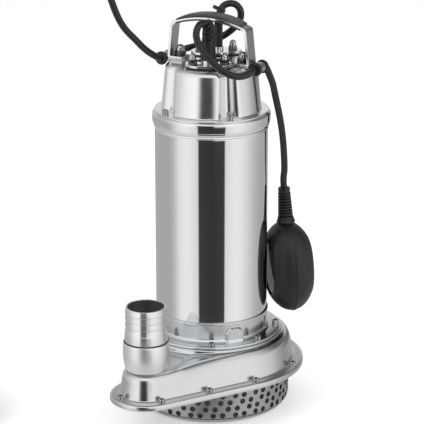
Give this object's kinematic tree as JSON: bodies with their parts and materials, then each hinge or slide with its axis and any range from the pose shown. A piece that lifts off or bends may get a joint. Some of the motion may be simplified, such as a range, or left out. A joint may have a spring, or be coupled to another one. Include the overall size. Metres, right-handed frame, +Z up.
{
  "type": "submersible sump pump",
  "caption": "Upright stainless submersible pump with an offset hose tail, a perforated foot, a strap handle and a hanging float switch on its cable.",
  "frame": {"origin": "centre of the strainer's flat bottom, on the shaft axis", "axes": "+Z up along the shaft, -Y towards the front where the hose tail and the float cable's gland are, +X towards the float"},
  "size_m": [0.5537, 0.286, 0.5752],
  "materials": {
    "polished_stainless": "mirror-polished stainless steel, faint drawing marks",
    "satin_stainless": "satin brushed stainless steel",
    "steel_screws": "bright stainless fasteners",
    "black_rubber": "black moulded rubber",
    "cable_rubber": "black rubber cable sheath, slight sheen",
    "grip_rubber": "dark grey grained rubber",
    "black_nylon": "black nylon",
    "plug_plastic": "black moulded plug",
    "plated_brass": "nickel-plated brass pins",
    "float_plastic": "black satin polypropylene",
    "cast_iron": "machined cast iron",
    "bearing_steel": "ground steel",
    "lamination_steel": "stacked laminations",
    "copper_winding": "enamelled copper wire",
    "seal_carbon": "carbon seal face",
    "seal_steel": "stainless seal head",
    "capacitor_white": "white plastic can",
    "terminal_ivory": "ivory terminal block",
    "switch_red": "red switch block and ball tube",
    "impeller_polymer": "glass-filled polymer"
  },
  "bodies": {
    "pump": {"strainer": "satin_stainless", "strainer_screws": "steel_screws", "base_plate": "polished_stainless", "base_gasket": "black_rubber", "volute_housing": "polished_stainless", "volute_screws": "steel_screws", "discharge_coupling": "polished_stainless", "hose_barb": "polished_stainless", "seal_plate": "cast_iron", "lower_collar": "polished_stainless", "collar_screws": "steel_screws", "motor_casing": "polished_stainless", "casing_o_rings": "black_rubber", "lower_bracket": "cast_iron", "upper_bracket": "cast_iron", "bearing_outer_rings": "bearing_steel", "bearing_balls": "bearing_steel", "stator_core": "lamination_steel", "stator_windings": "copper_winding", "lip_seal": "black_rubber", "seal_seat": "seal_carbon", "top_collar": "polished_stainless", "dome_cover": "polished_stainless", "dome_screws": "steel_screws", "capacitor": "capacitor_white", "terminal_block": "terminal_ivory", "mains_gland_plate": "polished_stainless", "float_gland_plate": "polished_stainless", "gland_gaskets": "black_rubber", "gland_collars": "polished_stainless", "mains_boot": "black_rubber", "float_cable_boot": "black_rubber", "gland_studs": "steel_screws", "gland_nuts": "polished_stainless", "cable_eyes": "polished_stainless", "handle_strap": "satin_stainless", "handle_grip": "grip_rubber", "handle_nuts": "polished_stainless", "left_grommet": "black_rubber", "right_grommets": "black_rubber", "cable_tie": "black_nylon", "mains_cable_lead": "cable_rubber", "mains_cable_coil": "cable_rubber", "coil_tie": "black_nylon", "plug_body": "plug_plastic", "plug_pins": "plated_brass", "float_cable_loop": "cable_rubber"},
    "rotor": {"shaft": "bearing_steel", "rotor_core": "lamination_steel", "impeller": "impeller_polymer", "bearing_inner_rings": "bearing_steel", "seal_head": "seal_steel", "impeller_nut": "steel_screws"},
    "float": {"float_shell_left": "float_plastic", "float_shell_right": "float_plastic", "float_boot": "black_rubber", "float_nut": "black_nylon", "float_cable_drop": "cable_rubber", "microswitch": "switch_red"},
    "ball": {"switch_ball": "bearing_steel"}
  },
  "joints": [
    {"name": "rotor_spin", "type": "hinge", "parent": "pump", "child": "rotor", "pos_m": [0, 0, 0.2], "axis": [0, 0, 1], "continuous": true},
    {"name": "float_swing", "type": "hinge", "parent": "pump", "child": "float", "pos_m": [0.0655, -0.014, 0.4365], "axis": [0, -1, 0], "range_deg": [0, 100]},
    {"name": "ball_roll", "type": "slide", "parent": "float", "child": "ball", "axis": [-0.0645, 0, 0.9979], "range_m": [0, 0.03]}
  ]
}
